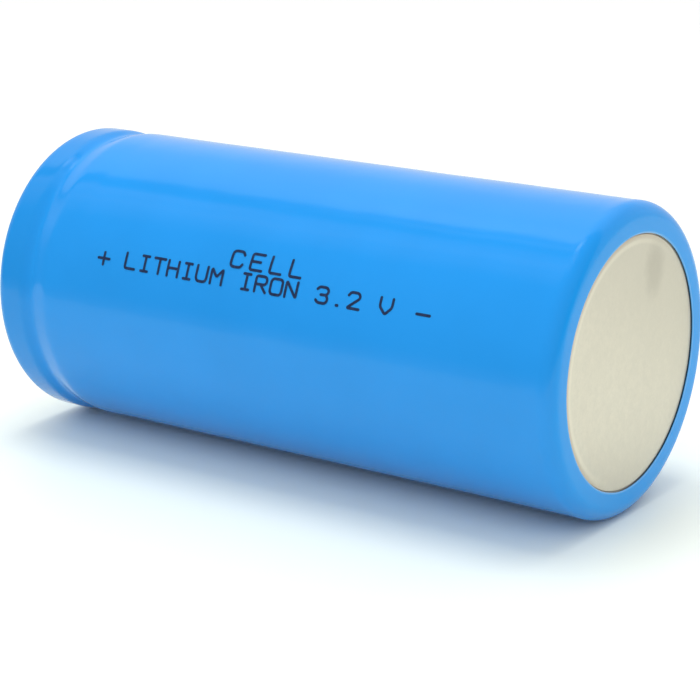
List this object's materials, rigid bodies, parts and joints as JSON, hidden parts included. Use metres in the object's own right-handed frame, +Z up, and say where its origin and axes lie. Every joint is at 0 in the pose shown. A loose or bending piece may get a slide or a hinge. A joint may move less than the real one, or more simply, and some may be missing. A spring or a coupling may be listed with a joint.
{
  "type": "cylindrical battery cell",
  "caption": "Large-format cylindrical lithium cell in a blue heat-shrink sleeve, with a flat bare-metal negative base and a vented cap as its positive contact.",
  "frame": {"origin": "on the cell's axis at half length, inside the straight wall that a holder grips", "axes": "+X along the axis towards the negative base, -X towards the positive cap; the cell lies on its side with +Z up; its print faces -Y"},
  "size_m": [0.0708, 0.0322, 0.0322],
  "materials": {
    "shrink_film": "glossy blue heat-shrink film",
    "nickel_plated_steel": "satin nickel plate on drawn steel",
    "washer_fibre": "pale fibre board",
    "gasket_plastic": "natural polypropylene",
    "aluminium_sheet": "bright rolled aluminium",
    "insulator_plastic": "translucent plastic sheet",
    "aluminium_foil": "bright foil",
    "positive_active_layer": "rolled dark grey powder coating",
    "copper_foil": "bright copper foil",
    "negative_active_layer": "rolled graphite coating",
    "separator_film": "white porous film",
    "nickel_strip": "rolled nickel",
    "amber_tape": "amber polyimide tape",
    "green_tape": "green adhesive tape"
  },
  "bodies": {
    "root": {"sleeve": "shrink_film", "can": "nickel_plated_steel", "insulating_washer": "washer_fibre", "gasket": "gasket_plastic", "terminal_cap": "nickel_plated_steel", "vent_disc": "aluminium_sheet", "vent_insulator_ring": "insulator_plastic", "contact_plate": "aluminium_sheet", "upper_insulator": "insulator_plastic", "lower_insulator": "insulator_plastic", "positive_foil": "aluminium_foil", "positive_coating_inner": "positive_active_layer", "positive_coating_outer": "positive_active_layer", "negative_foil": "copper_foil", "negative_coating_inner": "negative_active_layer", "negative_coating_outer": "negative_active_layer", "inner_separator": "separator_film", "outer_separator": "separator_film", "closing_tape": "green_tape", "positive_tab_1": "aluminium_sheet", "positive_tab_2": "aluminium_sheet", "positive_tab_3": "aluminium_sheet", "negative_tab_1": "nickel_strip", "negative_tab_2": "nickel_strip", "negative_tab_3": "nickel_strip", "positive_tab_tapes": "amber_tape", "negative_tab_tapes": "amber_tape"}
  },
  "joints": []
}
